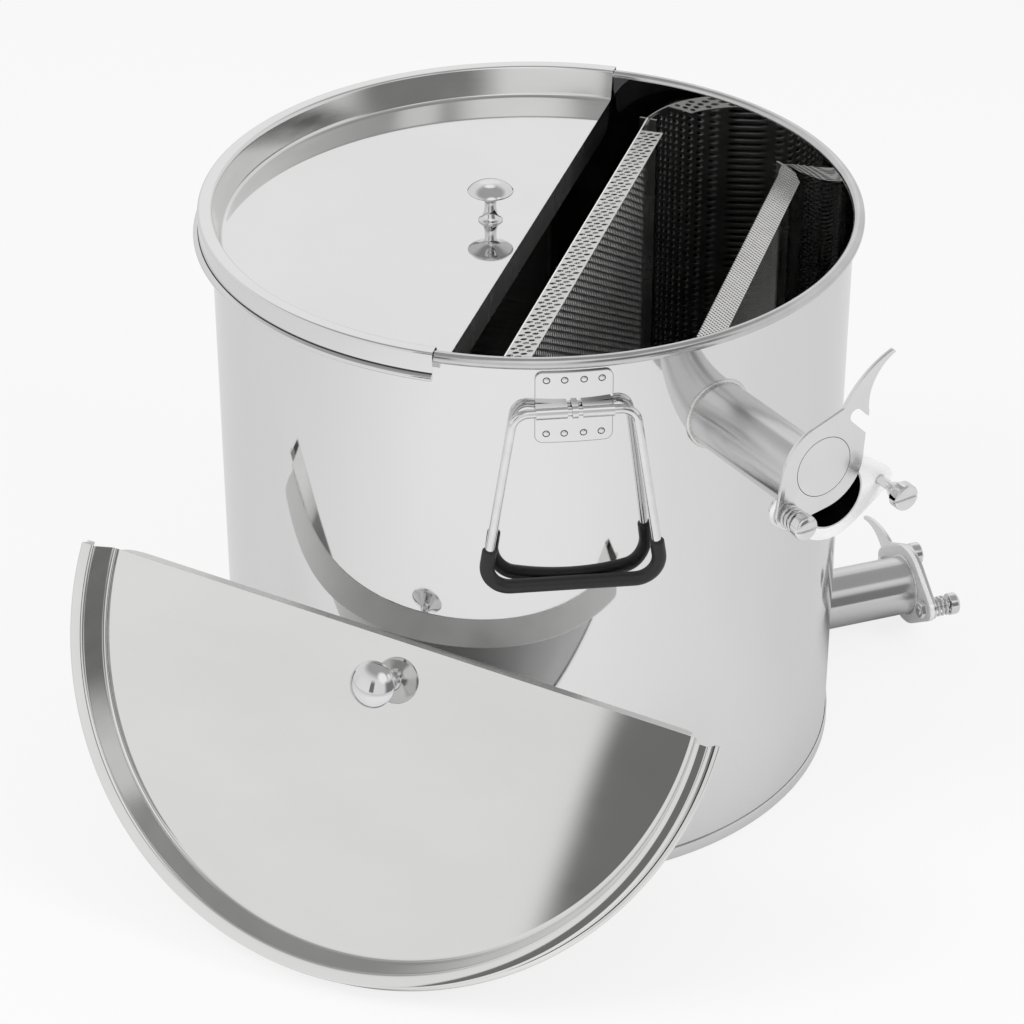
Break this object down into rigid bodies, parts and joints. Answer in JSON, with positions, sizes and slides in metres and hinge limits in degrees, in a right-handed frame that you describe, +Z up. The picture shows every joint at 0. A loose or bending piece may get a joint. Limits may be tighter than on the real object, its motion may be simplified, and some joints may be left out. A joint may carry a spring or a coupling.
{
  "type": "honey tank",
  "caption": "Round steel honey tank with a split lid, lift-out strainers, swing-gate outlets with lock screws, and bail handles with rubber grips.",
  "frame": {"origin": "on the drum's axis, at the underside of the bottom pan, on the floor", "axes": "+Z up, +Y along the lids' split towards the back, +X from the covered half towards the open half"},
  "size_m": [0.6416, 0.705, 0.5076],
  "materials": {
    "polished_steel": "mirror-polished stainless sheet",
    "satin_steel": "satin stainless sheet",
    "plate_steel": "bright stainless plate and rod",
    "bright_hardware": "turned and polished",
    "strainer_steel": "perforated stainless sheet",
    "grip_rubber": "smooth black rubber"
  },
  "bodies": {
    "tank": {"tank_shell": "polished_steel", "tank_bottom": "polished_steel", "coarse_front_guide": "strainer_steel", "coarse_back_guide": "strainer_steel", "fine_front_guide": "strainer_steel", "fine_back_guide": "strainer_steel", "upper_pipe": "polished_steel", "lower_pipe": "polished_steel", "upper_gate_flange": "plate_steel", "lower_gate_flange": "plate_steel", "gate_pivot_bolts": "bright_hardware", "gate_springs": "bright_hardware", "gate_pivot_nuts": "bright_hardware", "front_handle_plate": "plate_steel", "back_handle_plate": "plate_steel"},
    "left_lid": {"left_lid": "satin_steel", "left_lid_knob": "bright_hardware", "left_knob_screw": "bright_hardware"},
    "right_lid": {"right_lid": "satin_steel", "right_lid_knob": "bright_hardware", "right_knob_screw": "bright_hardware"},
    "coarse_strainer": {"coarse_strainer": "strainer_steel"},
    "fine_strainer": {"fine_strainer": "strainer_steel"},
    "front_bail": {"front_bail": "plate_steel", "front_grip": "grip_rubber"},
    "back_bail": {"back_bail": "plate_steel", "back_grip": "grip_rubber"},
    "upper_gate": {"upper_gate_blade": "plate_steel"},
    "lower_gate": {"lower_gate_blade": "plate_steel"},
    "upper_lock_cone": {"upper_lock_cone": "bright_hardware"},
    "upper_lock_screw": {"upper_lock_screw": "bright_hardware"},
    "lower_lock_cone": {"lower_lock_cone": "bright_hardware"},
    "lower_lock_screw": {"lower_lock_screw": "bright_hardware"}
  },
  "joints": [
    {"name": "left_lid_lift", "type": "slide", "parent": "tank", "child": "left_lid", "axis": [0, 0, 1], "range_m": [0, 0.15]},
    {"name": "right_lid_lift", "type": "slide", "parent": "tank", "child": "right_lid", "axis": [-0.082, -0.8673, 0.4909], "range_m": [0, 0.12]},
    {"name": "coarse_strainer_lift", "type": "slide", "parent": "tank", "child": "coarse_strainer", "axis": [0, 0, 1], "range_m": [0, 0.4]},
    {"name": "fine_strainer_lift", "type": "slide", "parent": "tank", "child": "fine_strainer", "axis": [0, 0, 1], "range_m": [0, 0.4]},
    {"name": "front_bail_swing", "type": "hinge", "parent": "tank", "child": "front_bail", "pos_m": [0.0992, -0.236, 0.4285], "axis": [-0.9219, -0.3875, 0], "range_deg": [0, 100]},
    {"name": "back_bail_swing", "type": "hinge", "parent": "tank", "child": "back_bail", "pos_m": [-0.0992, 0.236, 0.4285], "axis": [0.9219, 0.3875, 0], "range_deg": [0, 100]},
    {"name": "upper_gate_swing", "type": "hinge", "parent": "tank", "child": "upper_gate", "pos_m": [0.26527, -0.28625, 0.401], "axis": [0.7547, -0.6561, 0], "range_deg": [-45, 45]},
    {"name": "upper_lock_travel", "type": "slide", "parent": "tank", "child": "upper_lock_cone", "axis": [0.7547, -0.6561, 0], "range_m": [-0.009, 0]},
    {"name": "upper_lock_turn", "type": "hinge", "parent": "upper_lock_cone", "child": "upper_lock_screw", "pos_m": [0.32038, -0.22285, 0.401], "axis": [0.7547, -0.6561, 0], "range_deg": [-2593, 0]},
    {"name": "lower_gate_swing", "type": "hinge", "parent": "tank", "child": "lower_gate", "pos_m": [0.31027, 0.17351, 0.038], "axis": [0.809, 0.5878, 0], "range_deg": [0, 90]},
    {"name": "lower_lock_travel", "type": "slide", "parent": "tank", "child": "lower_lock_cone", "axis": [0.809, 0.5878, 0], "range_m": [-0.009, 0]},
    {"name": "lower_lock_turn", "type": "hinge", "parent": "lower_lock_cone", "child": "lower_lock_screw", "pos_m": [0.2609, 0.24147, 0.038], "axis": [0.809, 0.5878, 0], "range_deg": [-2593, 0]}
  ],
  "couplings": [
    {"joint": "upper_lock_turn", "follows": "upper_lock_travel", "rad_per_m": 5026.5},
    {"joint": "lower_lock_turn", "follows": "lower_lock_travel", "rad_per_m": 5026.5}
  ]
}
